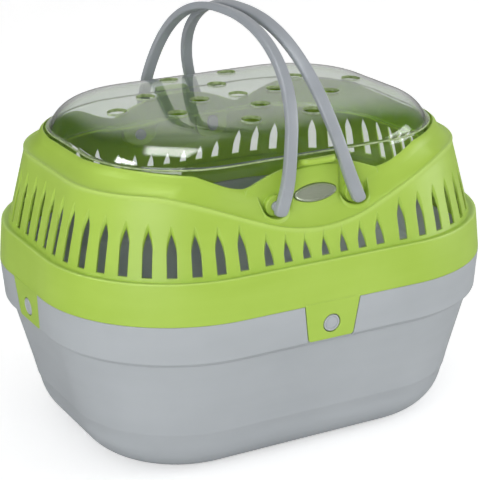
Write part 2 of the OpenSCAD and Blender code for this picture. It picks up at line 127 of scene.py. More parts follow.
class Finish:
    """A node material under construction."""

    def __init__(self, name):
        self.material = bpy.data.materials.new(name)
        self.material.use_nodes = True
        self.tree = self.material.node_tree
        self.tree.nodes.clear()
        self.output = self.tree.nodes.new("ShaderNodeOutputMaterial")

    def node(self, kind, settings=None, *by_place, **by_name):
        """A node with its settings, then its inputs by place or by name."""
        made = self.tree.nodes.new(kind)
        for key, value in (settings or {}).items():
            if key == "stops":
                while len(made.color_ramp.elements) < len(value):
                    made.color_ramp.elements.new(0.5)
                for stop, (at, colour) in zip(made.color_ramp.elements, value):
                    stop.position, stop.color = at, colour
            else:
                setattr(made, key, value)
        for key, value in list(enumerate(by_place)) + list(by_name.items()):
            socket = made.inputs[key if isinstance(key, int) else key.replace("_", " ")]
            if isinstance(value, Value):
                self.tree.links.new(value.socket, socket)
            elif isinstance(value, bpy.types.NodeSocket):
                self.tree.links.new(value, socket)
            else:
                socket.default_value = value
        return made

    def out(self, kind, settings=None, *by_place, **by_name):
        """The first output of such a node, as a Value."""
        return Value(self, self.node(kind, settings, *by_place, **by_name).outputs[0])

    def place(self):
        return self.node("ShaderNodeTexCoord").outputs["Object"]

    def noise(self, scale, detail=2.0, roughness=0.5, stretch=None):
        at = self.place()
        if stretch:
            at = self.node("ShaderNodeMapping", None, Vector=at, Scale=stretch).outputs[0]
        return self.out("ShaderNodeTexNoise", None, Vector=at, Scale=scale, Detail=detail,
                        Roughness=roughness)

    def blend(self, share, a, b):
        """Colour a where share is 0 and b where it is 1."""
        mixed = self.node("ShaderNodeMix", {"data_type": "RGBA"})
        self.tree.links.new(share.socket, mixed.inputs[0])
        for socket, colour in ((mixed.inputs[6], a), (mixed.inputs[7], b)):
            if isinstance(colour, bpy.types.NodeSocket):
                self.tree.links.new(colour, socket)
            else:
                socket.default_value = colour
        return mixed.outputs[2]

    def rounded(self, radius):
        """A normal that turns softly round the sharp edges of a moulding."""
        return self.node("ShaderNodeBevel", {"samples": 4}, Radius=radius).outputs[0]

    def done(self, shader):
        self.tree.links.new(shader, self.output.inputs["Surface"])
        return self.material


def srgb(r, g, b):
    """A colour given as it looks on a screen, from 0 to 255."""
    def linear(c):
        c /= 255
        return c / 12.92 if c <= 0.04045 else ((c + 0.055) / 1.055) ** 2.4
    return (linear(r), linear(g), linear(b), 1)


def moulded_plastic(name, colour, deep, highlight_colour, rough, grain, sheen, edge=0.0006):
    """Satin injection-moulded plastic: cloudy pigment, fine spark texture, and a painted highlight that
    lightens its edges and ridges.
    """
    f = Finish(name)
    cloud = f.noise(14, 3, 0.55)
    flow = f.noise(9, 2, 0.6, stretch=(1, 1, 7))
    tint = f.blend((cloud * 0.65 + flow * 0.35).between(0.32, 0.7), deep, colour)
    soft = f.rounded(edge)
    flat = f.node("ShaderNodeNewGeometry").outputs["Normal"]
    facing = f.node("ShaderNodeVectorMath", {"operation": "DOT_PRODUCT"}, soft, flat)
    # Painted highlight: where the bevel normal turns away from the flat one, the colour is lightened towards
    # the highlight colour and the surface is made a little glossier.
    edge_highlight = (1 - Value(f, facing.outputs["Value"])).between(0.02, 0.3) * 0.5
    # Painted highlight on the crease and the belt's rolled edge, read from a vertex attribute.
    ridge = Value(f, f.node("ShaderNodeAttribute", {"attribute_name": "ridge"}).outputs["Fac"])
    tint = f.blend(edge_highlight + ridge, tint, highlight_colour)
    fine = f.noise(1500, 2, 0.6)
    coarse = f.noise(420, 2, 0.5)
    bump = f.node("ShaderNodeBump", None, Strength=grain, Distance=0.0002,
                  Height=fine * 0.6 + coarse * 0.4, Normal=soft)
    smear = f.noise(30, 3, 0.6)
    shader = f.node("ShaderNodeBsdfPrincipled", None, Base_Color=tint,
                    Roughness=rough - 0.05 + smear * 0.1 - edge_highlight * 0.08,
                    Normal=bump.outputs[0], Specular_IOR_Level=sheen, IOR=1.49)
    return f.done(shader.outputs[0])


# The fourth colour of each plastic is its painted highlight along edges and ridges.
LIME = moulded_plastic("lime satin plastic", srgb(169, 200, 80), srgb(160, 192, 68),
                       srgb(205, 232, 134), 0.42, 0.06, 0.5, edge=0.0009)
TUB_GREY = moulded_plastic("light grey satin plastic", srgb(173, 178, 182),
                           srgb(166, 171, 175), srgb(206, 210, 212), 0.45, 0.08, 0.45)
HANDLE_GREY = moulded_plastic("pale grey handle plastic", srgb(160, 165, 171),
                              srgb(150, 155, 161), srgb(212, 214, 224), 0.36, 0.05, 0.5,
                              edge=0.0005)


def clear_plastic():
    """Thin clear polystyrene: hardly bends what is behind it, mirrors by its coat."""
    f = Finish("clear lid plastic")
    haze = f.noise(40, 3, 0.6)
    ripple = f.node("ShaderNodeBump", None, Strength=0.12, Distance=0.0004, Height=f.noise(45, 2))
    tint = f.blend(haze.between(0.3, 0.7), srgb(238, 246, 236), srgb(246, 251, 245))
    glass = f.node("ShaderNodeBsdfPrincipled", None, Base_Color=tint, Roughness=0.02 + haze * 0.04,
                   Normal=ripple.outputs[0], IOR=1.06, Transmission_Weight=1.0, Coat_Weight=1.0,
                   Coat_Roughness=0.03, Coat_IOR=1.5)
    clear = f.node("ShaderNodeBsdfTransparent", None, Color=(0.24, 0.31, 0.22, 1))
    lamp_ray = f.node("ShaderNodeLightPath").outputs["Is Shadow Ray"]
    mixed = f.node("ShaderNodeMixShader", None, lamp_ray)
    f.tree.links.new(glass.outputs[0], mixed.inputs[1])
    f.tree.links.new(clear.outputs[0], mixed.inputs[2])
    return f.done(mixed.outputs[0])


def brushed_badge():
    """Satin silver foil with fine brushing along the oval."""
    f = Finish("satin silver badge")
    brush = f.noise(260, 4, 0.65, stretch=(1, 1, 14))
    cloud = f.noise(60, 2)
    tint = f.blend(brush * 0.6 + cloud * 0.4, srgb(152, 162, 138), srgb(208, 214, 196))
    bump = f.node("ShaderNodeBump", None, Strength=0.12, Distance=0.0001, Height=brush,
                  Normal=f.rounded(0.0003))
    shader = f.node("ShaderNodeBsdfPrincipled", None, Base_Color=tint, Metallic=0.7,
                    Roughness=0.26 + brush * 0.16, Normal=bump.outputs[0])
    return f.done(shader.outputs[0])


def frosted_plastic():
    """The cut walls of the vents, which scatter a little."""
    f = Finish("frosted vent edge")
    tint = f.blend(f.noise(300, 2).between(0.3, 0.7), srgb(140, 160, 104), srgb(178, 194, 146))
    return f.done(f.node("ShaderNodeBsdfPrincipled", None, Base_Color=tint, Roughness=0.35,
                         IOR=1.49).outputs[0])


CLEAR = clear_plastic()
FROSTED = frosted_plastic()
SILVER = brushed_badge()


# ---- mesh helpers ----
def mesh_object(name, points, faces, material=None):
    """An object from points in millimetres, doubles merged, faces outwards."""
    mesh = bpy.data.meshes.new(name)
    mesh.from_pydata([tuple(p) for p in np.asarray(points, float) * MM], [], faces)
    work = bmesh.new()
    work.from_mesh(mesh)
    bmesh.ops.remove_doubles(work, verts=work.verts, dist=2e-6)
    bmesh.ops.dissolve_degenerate(work, edges=work.edges, dist=2e-6)
    bmesh.ops.recalc_face_normals(work, faces=work.faces)
    work.to_mesh(mesh)
    work.free()
    made = bpy.data.objects.new(name, mesh)
    bpy.context.scene.collection.objects.link(made)
    if material:
        mesh.materials.append(material)
    return made


def grid_faces(columns, rows, closed_columns, closed_rows):
    """Quads of a grid whose point (c, r) has index c * rows + r."""
    faces = []
    for c in range(columns if closed_columns else columns - 1):
        d = (c + 1) % columns
        for r in range(rows if closed_rows else rows - 1):
            s = (r + 1) % rows
            faces.append((c * rows + r, d * rows + r, d * rows + s, c * rows + s))
    return faces


def capped_faces(rings, sides):
    """Quads between closed rings of points, with a face over the first and the last ring."""
    caps = [list(range(sides)), list(range((rings - 1) * sides, rings * sides))]
    return grid_faces(rings, sides, False, True) + caps


def bake_modifiers(piece):
    """The piece's evaluated mesh takes the place of its mesh, and the modifiers go."""
    graph = bpy.context.evaluated_depsgraph_get()
    mesh = bpy.data.meshes.new_from_object(piece.evaluated_get(graph))
    piece.modifiers.clear()
    piece.data = mesh
    return piece


def combine(piece, tool, operation, keep_finish=False):
    """Boolean of two closed meshes, which uses the tool up. Its faces may keep their finish."""
    step = piece.modifiers.new("join", "BOOLEAN")
    step.operation, step.solver, step.object = operation, "MANIFOLD", tool
    step.material_mode = "TRANSFER" if keep_finish else "INDEX"
    finish = list(piece.data.materials)[:1]
    bake_modifiers(piece)
    bpy.data.objects.remove(tool)
    if not keep_finish:
        piece.data.materials.clear()
        for material in finish:
            piece.data.materials.append(material)
        piece.data.polygons.foreach_set("material_index", [0] * len(piece.data.polygons))


def smooth(piece, angle=30):
    """Smooth shading, with edges over this angle kept sharp."""
    piece.data.polygons.foreach_set("use_smooth", [True] * len(piece.data.polygons))
    work = bmesh.new()
    work.from_mesh(piece.data)
    limit = math.radians(angle)
    for edge in work.edges:
        edge.smooth = len(edge.link_faces) == 2 and edge.calc_face_angle(0) < limit
    work.to_mesh(piece.data)
    work.free()
    return piece


def round_corners(path, closed, steps=4):
    """Rounds each column's path of (inset, height, radius); path is (columns, points, 3)."""
    columns, count = path.shape[:2]
    points, radii = path[:, :, :2], path[:, :, 2]
    rows = []
    for i in range(count):
        here = points[:, i]
        if not closed and i in (0, count - 1):
            rows.append(here)
            continue
        before = points[:, i - 1] - here
        after = points[:, (i + 1) % count] - here
        to_before, to_after = np.linalg.norm(before, axis=1), np.linalg.norm(after, axis=1)
        reach = np.minimum(radii[:, i], 0.48 * np.minimum(to_before, to_after))
        if radii[:, i].max() == 0:
            rows.append(here)
            continue
        start = here + before / np.maximum(to_before, 1e-9)[:, None] * reach[:, None]
        end = here + after / np.maximum(to_after, 1e-9)[:, None] * reach[:, None]
        for k in range(steps + 1):
            t = k / steps
            rows.append((1 - t) ** 2 * start + 2 * t * (1 - t) * here + t * t * end)
    return np.stack(rows, axis=1)


# ---- plan ----
def stations(front_x, corner_steps, end_steps):
    """Centres and outward directions round the plan, anticlockwise from the front left."""
    centre, outward = [], []

    def add(x, y, a):
        centre.append((x, y))
        outward.append((math.cos(a), math.sin(a)))

    quarter = math.pi / 2
    for side in range(4):
        sign = 1 if side in (0, 1) else -1
        if side % 2 == 0:
            for x in front_x:
                add(sign * x, -sign * CORNER_Y, -quarter + side * quarter)
        else:
            for k in range(end_steps + 1):
                add(sign * CORNER_X, sign * (-CORNER_Y + 2 * CORNER_Y * k / end_steps),
                    -quarter + side * quarter)
        corner = [(CORNER_X, -CORNER_Y), (CORNER_X, CORNER_Y), (-CORNER_X, CORNER_Y),
                  (-CORNER_X, -CORNER_Y)][side]
        for k in range(1, corner_steps):
            add(*corner, -quarter + (side + k / corner_steps) * quarter)
    return np.array(centre), np.array(outward)


def spread(centre, outward, profile):
    """Points (columns, rows, 3) of a profile of (inset, height) at every station."""
    if profile.ndim == 2:
        profile = np.repeat(profile[None], len(centre), axis=0)
    reach = CORNER_R - profile[:, :, 0]
    flat = centre[:, None] + reach[:, :, None] * outward[:, None]
    return np.concatenate([flat, profile[:, :, 1:2]], axis=2)


def swept_ring(name, profile, centre, outward, material=None):
    points = spread(centre, outward, profile)
    columns, rows = points.shape[:2]
    return mesh_object(name, points.reshape(-1, 3), grid_faces(columns, rows, True, True), material)


def swept_bowl(name, profile, centre, outward, material=None):
    """As a ring, but open at both ends of the profile, which are closed by flat faces."""
    points = spread(centre, outward, profile)
    columns, rows = points.shape[:2]
    faces = grid_faces(columns, rows, True, False)
    faces.append([c * rows for c in range(columns)])
    faces.append([c * rows + rows - 1 for c in range(columns)])
    return mesh_object(name, points.reshape(-1, 3), faces, material)


def prism(name, outline, low, high, axis="z"):
    """Straight prism of a flat outline; axis y stands it in the front plane, from -high to -low."""
    n = len(outline)
    if axis == "z":
        points = [(x, y, low) for x, y in outline] + [(x, y, high) for x, y in outline]
    else:
        points = [(x, -low, z) for x, z in outline] + [(x, -high, z) for x, z in outline]
    faces = [list(range(n)), list(range(n, 2 * n))]
    faces += [(k, (k + 1) % n, n + (k + 1) % n, n + k) for k in range(n)]
    return mesh_object(name, points, faces)


def turned(piece, quarter_turns=0):
    """A copy of the piece, turned about the vertical axis."""
    copy = piece.copy()
    copy.data = piece.data.copy()
    bpy.context.scene.collection.objects.link(copy)
    copy.data.transform(Matrix.Rotation(quarter_turns * math.pi / 2, 4, "Z"))
    return copy


# ---- upper body ----
def rounded_inset(dx, dy, radius):
    """How far in from a rounded rectangle's edge, from the steps past its corner's centre."""
    return radius - np.hypot(np.maximum(dx, 0), np.maximum(dy, 0)) - np.minimum(np.maximum(dx, dy), 0)


def plan_depth(x, inset):
    """Half depth of the plan at x."""
    beyond = np.maximum(np.abs(x) - CORNER_X, 0)
    return CORNER_Y + np.sqrt(np.maximum((CORNER_R - inset) ** 2 - beyond ** 2, 0))


def dip_line(x):
    """Height of the dipped crease at x, on the front and the back."""
    wave = (1 + np.cos(np.pi * np.minimum(x, DIP_HALF) / DIP_HALF)) / 2
    return CREASE_Z + DIP_END - (DIP + DIP_END) * wave


def dip_height(x, y):
    """The dipped collar over a point of the plan."""
    x, y = np.abs(x), np.abs(y)
    low = dip_line(x)
    edge = plan_depth(x, GRILLE_IN + GRILLE_LEAN * (low - SHOULDER_Z))
    return np.where(x < DIP_HALF, low + (edge - y) * DIP_TAN, FAR)


def hump_height(x):
    return HUMP_FOOT_Z + HUMP_RISE * (1 - (x / HUMP_HALF) ** 2)


def inset_where(test, low, high, count):
    """Bisects for the inset at which test(inset) turns from negative to positive."""
    low, high = np.full(count, low, float), np.full(count, high, float)
    for _ in range(40):
        middle = (low + high) / 2
        over = test(middle) > 0
        high, low = np.where(over, middle, high), np.where(over, low, middle)
    return (low + high) / 2


def step_up(x, a, b):
    t = np.clip((x - a) / (b - a), 0, 1)
    return t * t * (3 - 2 * t)


def upper_body_profile(centre, outward):
    """Each station's closed path through the wall, as (inset, height, corner radius)."""
    n = len(centre)

    def at(inset):
        p = centre + (CORNER_R - inset)[:, None] * outward
        return p[:, 0], p[:, 1]

    def collar(inset):
        cone = CREASE_Z + COLLAR_K * (inset - CREASE_IN)
        return np.minimum(cone, dip_height(*at(inset)))

    def collar_inside(inset):
        cone = CREASE_Z + COLLAR_K * (inset - CREASE_IN) - COLLAR_OFF
        return np.minimum(cone, dip_height(*at(inset)) - DIP_OFF)

    def grille(inset):
        return SHOULDER_Z + (inset - GRILLE_IN) / GRILLE_LEAN

    def grille_inside(inset):
        return SHOULDER_Z + (inset - GRILLE_IN - GRILLE_OFF) / GRILLE_LEAN

    def past_opening(inset):
        x, y = at(inset)
        return rounded_inset(np.abs(x) - OPEN_L / 2 + OPEN_R, np.abs(y) - OPEN_W / 2 + OPEN_R, OPEN_R)

    on_straight = np.abs(outward[:, 1]) > 0.999
    x = np.abs(centre[:, 0]) + np.where(on_straight, 0, FAR)
    q_open = inset_where(past_opening, 10, 60, n)
    q_crease = inset_where(lambda q: grille(q) - collar(q), GRILLE_IN, 25, n)
    z_crease = collar(q_crease)

    def hollow(inset):
        """The collar's face, a little hollow between the crease and the rim."""
        share = np.clip((inset - q_crease) / np.maximum(q_open - q_crease, 1), 0, 1)
        return collar(inset) - COLLAR_SAG * np.sin(np.pi * share ** 0.72)

    # Hump wall, with the panel standing out of it
    q_hump = q_open - WALL
    on_hump = x < HUMP_HALF + 8
    hump = np.where(x < HUMP_HALF, 1 - step_up(x, HUMP_HALF - 1.5, HUMP_HALF + 1.5), 0)
    panel = 1 - step_up(x, PANEL_HALF - 0.5, PANEL_HALF + PANEL_D + 1)
    q_wall = q_hump - PANEL_D * panel
    z_rim = collar(q_open)
    z_hump = np.where(on_hump, hump_height(np.minimum(x, 60)), 0)
    rise = (z_hump - z_rim) / 1.2
    z_top = z_rim + 1.2 * np.where(rise > 20, rise, np.log1p(np.exp(np.minimum(rise, 20))))
    z_edge = collar(q_hump) + (z_top - collar(q_hump)) * hump
    z_wall = np.maximum(z_edge - 2 * panel, collar(q_wall))

    # Niche round each pivot: its floor runs level from the wall or the collar to the hump
    aside = np.abs(x - PIVOT_X)

    def niche(half, deep, slope):
        oval = np.sqrt(np.maximum(1 - (aside / half) ** 2, 0))
        return PIVOT_Z - deep * oval + np.maximum(aside - half, 0) * slope

    floor = niche(NICHE_R, NICHE_DEEP, 6)
    under = niche(NICHE_R + WALL, NICHE_DEEP + WALL, 5)
    q_lip = np.where(floor < z_crease, GRILLE_IN + GRILLE_LEAN * (floor - SHOULDER_Z), q_crease)
    z_lip = np.minimum(floor, z_crease)
    q_step = inset_where(lambda q: collar(q) - floor, GRILLE_IN, 60, n)
    q_step = np.clip(q_step, q_lip, q_wall)
    z_step = np.minimum(floor, collar(q_step))
    z_foot = np.minimum(floor, collar(q_wall))

    # The belt with its rolled edge, the slotted wall, the crease's roll, the hollow collar
    path = [(0, JOINT_Z, .6), (BELT_LEAN - .1, SHOULDER_Z - 3.8, 1.2),
            (BELT_LEAN + .2, SHOULDER_Z - 1.2, 1.3), (BELT_LEAN + 2.1, SHOULDER_Z - 1.4, 1.1),
            (GRILLE_IN - .3, SHOULDER_Z - 2.3, 1.9)]
    path += [(GRILLE_IN + (q_lip - GRILLE_IN) * k / 8, SHOULDER_Z + (z_lip - SHOULDER_Z) * k / 8, 0)
             for k in range(1, 7)]
    path.append((q_lip - ROLL_H * GRILLE_LEAN, z_lip - ROLL_H, 1.4))
    path.append((q_lip - ROLL_PROUD, z_lip + 0.1, 1.7))
    for k in range(1, 10):
        q = q_lip + (q_step - q_lip) * k / 10
        z = np.where(q_step - q_lip > 1e-6, np.minimum(hollow(q), floor), z_lip)
        path.append((q, z, 0.7 if k == 1 else 0))
    path.append((q_step, z_step, 1.4))
    path.append((q_wall, z_foot, 2.2))
    path += [(q_wall, z_foot + (z_wall - z_foot) * k / 6, 0) for k in range(1, 6)]
    path.append((q_wall, z_wall, 0.9))
    path.append((q_hump, z_wall, 0.5))
    path.append((q_hump, z_edge, 0.9))
    path.append((q_open, z_top, 0.9))
    path += [(q_open, z_top + (LEDGE_Z - z_top) * k / 4, 0) for k in range(1, 4)]
    path.append((q_open, LEDGE_Z, .7))
    path.append((q_open + LEDGE_W, LEDGE_Z, .5))
    path.append((q_open + LEDGE_W, LEDGE_Z - LEDGE_T, .5))

    # Inside, back down to the joint
    low = LEDGE_Z - LEDGE_T
    pocket = under < collar_inside(q_open)
    q_under = inset_where(lambda q: collar_inside(q) - low, GRILLE_IN, 60, n)
    q_under = np.where(pocket, q_open, np.clip(q_under, q_open - 2, q_open + LEDGE_W - .4))
    z_low = np.full(n, low)
    q_crease_in = inset_where(lambda q: grille_inside(q) - collar_inside(q), GRILLE_IN, 40, n)
    z_crease_in = collar_inside(q_crease_in)
    z_drop = np.where(pocket, under, np.maximum(low, collar_inside(q_under)))
    q_back = np.where(pocket, inset_where(lambda q: collar_inside(q) - under, GRILLE_IN, 60, n), q_under)
    q_back = np.minimum(np.maximum(q_back, q_crease_in), q_open)
    z_back = np.where(pocket, np.minimum(under, collar_inside(q_back)), z_drop)
    below = pocket & (under < z_crease_in)
    q_turn = np.where(below, GRILLE_IN + GRILLE_OFF + GRILLE_LEAN * (under - SHOULDER_Z), q_crease_in)
    z_turn = np.where(below, under, z_crease_in)
    q_back, z_back = np.where(below, q_turn, q_back), np.where(below, z_turn, z_back)
    path.append((q_under, z_low, .4))
    path += [(q_under, z_low + (z_drop - z_low) * k / 4, 0) for k in range(1, 4)]
    path.append((q_under, z_drop, .6))
    path.append((q_back, z_back, .4))
    for k in range(1, 8):
        q = q_back + (q_turn - q_back) * k / 8
        path.append((q, np.where(np.abs(q_turn - q_back) > 1e-6, collar_inside(q), z_turn), 0))
    path.append((q_turn, z_turn, 2.0))
    foot_q, foot_z = GRILLE_IN + GRILLE_OFF - GRILLE_LEAN * 3.9, SHOULDER_Z - 3.9
    path += [(q_turn + (foot_q - q_turn) * k / 8, z_turn + (foot_z - z_turn) * k / 8, 0) for k in range(1, 8)]
    path.append((foot_q, foot_z, 1.0))
    path.append((BELT_LEAN + WALL + .15, SHOULDER_Z - 4.6, 1.4))
    path.append((WALL, JOINT_Z, .4))
    full = np.zeros((n, len(path), 3))
    for i, (q, z, r) in enumerate(path):
        full[:, i, 0], full[:, i, 1], full[:, i, 2] = q, z, r
    return round_corners(full, closed=True)


def slot_places():
    """Tip point, turn and height of every slot, in the order they are cut."""
    line = GRILLE_IN + 2.4
    side_x = CORNER_X - 5
    arc = (CORNER_R - line) * math.pi / 2
    run = CORNER_Y + arc + CORNER_X - side_x
    pitch, front_pitch = 14.38, 12.8
    count = round(run / pitch)
    over = 9  # the cutter's height above the point where it leaves the wall's inner face
    found = []

    def add(x, y, direction, height, open_h):
        depth = GRILLE_IN + GRILLE_OFF + GRILLE_LEAN * open_h
        c, s = math.cos(direction), math.sin(direction)
        found.append((x - depth * c, y - depth * s, direction, height))

    for sign in (1, -1):
        for i in range(-3, 4):
            x, open_h = i * front_pitch, 9.5 + 4.5 * (i / 3) ** 2
            height = min(open_h + over, dip_line(abs(x)) - 1.5 - SHOULDER_Z + 0.4)
            add(sign * x, -sign * HALF_W, -sign * math.pi / 2, height, open_h)
    for mx in (1, -1):
        for my in (1, -1):
            for i in range(0 if my > 0 else 1, count + 1):
                s = run * i / count
                open_h = 33 - 12 * i / count
                if s <= CORNER_Y:
                    x, y, a = HALF_L, s, 0.0
                elif (s - CORNER_Y) / (CORNER_R - line) <= math.pi / 2:
                    a = (s - CORNER_Y) / (CORNER_R - line)
                    x, y = CORNER_X + CORNER_R * math.cos(a), CORNER_Y + CORNER_R * math.sin(a)
                else:
                    x, y, a = CORNER_X - (s - CORNER_Y) + arc, HALF_W, math.pi / 2
                turn = math.atan2(my * math.sin(a), mx * math.cos(a))
                add(mx * x, my * y, turn, open_h + over, open_h)
    return found


def slot_tool():
    """Unit cutter: a pointed bar 1 wide and 1 tall, its tip at the origin, reaching along +X."""
    tip_l, bar_l = 3.5, 45
    tip = [(tip_l * (1 - k / 8), 0.5 * (1 - (k / 8) ** 1.9)) for k in range(9)]
    outline = [(bar_l, -0.5), (bar_l, 0.5)] + tip + [(x, -y) for x, y in tip[-2::-1]]
    tool = prism("slot tool", outline, 0, 1)
    tool.data.transform(Matrix.Scale(1 / MM, 4, (0, 1, 0)) @ Matrix.Scale(1 / MM, 4, (0, 0, 1)))
    return tool


def scatter(name, tool, places, width, material):
    """Geometry Nodes: the tool at every place, turned and stretched, as one mesh."""
    mesh = bpy.data.meshes.new(name)
    mesh.from_pydata([(x * MM, y * MM, z * MM) for x, y, z, _, _ in places], [], [])
    for label, index, scale in (("turn", 3, 1), ("tall", 4, MM)):
        attribute = mesh.attributes.new(label, "FLOAT", "POINT")
        attribute.data.foreach_set("value", [p[index] * scale for p in places])
    carrier = bpy.data.objects.new(name, mesh)
    bpy.context.scene.collection.objects.link(carrier)
    tree = bpy.data.node_groups.new(name, "GeometryNodeTree")
    tree.interface.new_socket("Places", in_out="INPUT", socket_type="NodeSocketGeometry")
    tool_in = tree.interface.new_socket("Tool", in_out="INPUT", socket_type="NodeSocketObject")
    width_in = tree.interface.new_socket("Width", in_out="INPUT", socket_type="NodeSocketFloat")
    finish_in = tree.interface.new_socket("Finish", in_out="INPUT", socket_type="NodeSocketMaterial")
    tree.interface.new_socket("Tools", in_out="OUTPUT", socket_type="NodeSocketGeometry")
    add, link = tree.nodes.new, tree.links.new
    given, result = add("NodeGroupInput"), add("NodeGroupOutput")
    source = add("GeometryNodeObjectInfo")
    link(given.outputs["Tool"], source.inputs["Object"])
    reads = {}
    for label in ("turn", "tall"):
        reads[label] = add("GeometryNodeInputNamedAttribute")
        reads[label].data_type = "FLOAT"
        reads[label].inputs["Name"].default_value = label
    spin, size = add("ShaderNodeCombineXYZ"), add("ShaderNodeCombineXYZ")
    link(reads["turn"].outputs["Attribute"], spin.inputs["Z"])
    size.inputs["X"].default_value = 1
    link(given.outputs["Width"], size.inputs["Y"])
    link(reads["tall"].outputs["Attribute"], size.inputs["Z"])
    put = add("GeometryNodeInstanceOnPoints")
    link(given.outputs["Places"], put.inputs["Points"])
    link(source.outputs["Geometry"], put.inputs["Instance"])
    link(spin.outputs[0], put.inputs["Rotation"])
    link(size.outputs[0], put.inputs["Scale"])
    real, paint = add("GeometryNodeRealizeInstances"), add("GeometryNodeSetMaterial")
    link(put.outputs[0], real.inputs[0])
    link(real.outputs[0], paint.inputs["Geometry"])
    link(given.outputs["Finish"], paint.inputs["Material"])
    link(paint.outputs[0], result.inputs[0])
    step = carrier.modifiers.new(name, "NODES")
    step.node_group = tree
    step[tool_in.identifier] = tool
    step[width_in.identifier] = width * MM
    step[finish_in.identifier] = material
    bake_modifiers(carrier)
    bpy.data.objects.remove(tool)
    return carrier


def disc_tool(radius, sides=48):
    """Unit-height cylinder for round holes."""
    outline = [(radius * math.cos(2 * math.pi * k / sides), radius * math.sin(2 * math.pi * k / sides))
               for k in range(sides)]
    tool = prism("round tool", outline, 0, 1)
    tool.data.transform(Matrix.Scale(1 / MM, 4, (0, 0, 1)))
    return tool


def rod(name, x, z, radius, near, far, sides=48, rim=0.0):
    """Round bar along the depth, centred at (x, z), from y = -far to y = -near."""
    rows = [(near, radius - rim), (near + rim, radius), (far - rim, radius), (far, radius - rim)]
    if not rim:
        rows = [(near, radius), (far, radius)]
    points = []
    for y, r in rows:
        for k in range(sides):
            a = 2 * math.pi * k / sides
            points.append((x + r * math.cos(a), -y, z + r * math.sin(a)))
    return mesh_object(name, points, capped_faces(len(rows), sides))


def thumb_lip():
    """The lip that rolls outwards from a hump's top, with rounded ends."""
    columns, turns = 40, 18
    middle, root, full_sweep = THUMB_R - WALL / 2, 12, 96
    points, rows = [], 0
    for c in range(columns + 1):
        u = -1 + 2 * c / columns
        x = THUMB_L / 2 * math.sin(u * math.pi / 2)
        aside = abs(x / (THUMB_L / 2))
        shrink = math.sqrt(max(1 - aside ** 14, 0.05))
        sweep = full_sweep * (0.35 + 0.65 * max(1 - aside ** 6, 0) ** 0.5)
        half = 1.9 * shrink
        thick = [(1.2 + 0.7 * (k / turns) ** 2) * shrink for k in range(turns + 1)]
        loop = []
        for k in range(turns + 1):
            a = math.radians(-root + (sweep + root) * k / turns)
            loop.append(((middle + thick[k]) * math.cos(a), (middle + thick[k]) * math.sin(a)))
        end = math.radians(sweep)
        for k in range(1, 6):
            b = math.pi * k / 6
            r, along = middle + half * math.cos(b), half * math.sin(b)
            loop.append((r * math.cos(end) - along * math.sin(end),
                         r * math.sin(end) + along * math.cos(end)))
        for k in range(turns + 1):
            a = math.radians(sweep - (sweep + root) * k / turns)
            thin = middle - thick[turns - k]
            loop.append((thin * math.cos(a), thin * math.sin(a)))
        rows = len(loop)
        points += [(x, -(OPEN_W / 2 + THUMB_R) + py, THUMB_Z + pz) for py, pz in loop]
    return mesh_object("thumb lip", points, capped_faces(columns + 1, rows))


def lean_with_band(piece):
    """Leans a piece on the front by as much as the tub's band leans."""
    for v in piece.data.vertices:
        v.co.y += (JOINT_Z * MM - v.co.z) * BAND_LEAN / (JOINT_Z - BAND_Z)
    return piece


def tab_plate(grow, front, behind, top, low):
    """Tapered plate that follows the band's lean, from front to behind its face."""
    half_top, half_low = (TAB_HALF + grow + TAB_FLARE * (z - TAB_Z) / (JOINT_Z - TAB_Z)
                          for z in (top, low))
    outline = [(half_top, top), (-half_top, top)]
    for x, start in ((TAB_CORNER - half_low, math.pi), (half_low - TAB_CORNER, -math.pi / 2)):
        for k in range(7):
            a = start + math.pi / 2 * k / 6
            outline.append((x + TAB_CORNER * math.cos(a), low + TAB_CORNER + TAB_CORNER * math.sin(a)))
    return lean_with_band(prism("tab", outline, HALF_W - behind, HALF_W + front, axis="y"))


def on_four_sides(piece, make):
    """Hands make() a copy of the piece for each of the four sides, then drops the piece."""
    for k in range(4):
        copy = turned(piece)
        if k % 2:
            copy.data.transform(Matrix.Translation((0, -(HALF_L - HALF_W) * MM, 0)))
        copy.data.transform(Matrix.Rotation(k * math.pi / 2, 4, "Z"))
        make(copy)
    bpy.data.objects.remove(piece)


def on_front_and_back(piece, make):
    """As on_four_sides, for the front and the back."""
    for k in (0, 2):
        make(turned(piece, k))
    bpy.data.objects.remove(piece)


def badge_outline(grow, sides=80):
    """Oval with slightly pointed ends, as (x, z) about its middle."""
    outline = []
    for k in range(sides):
        t = 2 * math.pi * k / sides
        x = (BADGE_L / 2 + grow) * math.copysign(abs(math.cos(t)) ** 1.12, math.cos(t))
        outline.append((x, (BADGE_H / 2 + grow) * math.sin(t)))
    return outline


def paint_ridge_highlights(body):
    """A vertex attribute of painted highlight, high on the crease and on the belt's rolled edge."""
    points = np.empty(len(body.data.vertices) * 3)
    body.data.vertices.foreach_get("co", points)
    x, y, z = np.abs(points.reshape(-1, 3).T) / MM
    inset = rounded_inset(x - CORNER_X, y - CORNER_Y, CORNER_R)
    collar = np.minimum(CREASE_Z + COLLAR_K * (inset - CREASE_IN), dip_height(x, y))
    wall = GRILLE_IN + GRILLE_LEAN * (z - SHOULDER_Z)
    crease = np.exp(-((z - collar) / 1.6) ** 2 - ((inset - wall + 0.4) / 0.9) ** 2)
    roll = np.exp(-((z - SHOULDER_Z + 1.4) / 0.5) ** 2 - ((inset - BELT_LEAN - 1) / 1.1) ** 2)
    ridge = body.data.attributes.new("ridge", "FLOAT", "POINT")
    ridge.data.foreach_set("value", 0.35 * crease + 0.55 * roll)


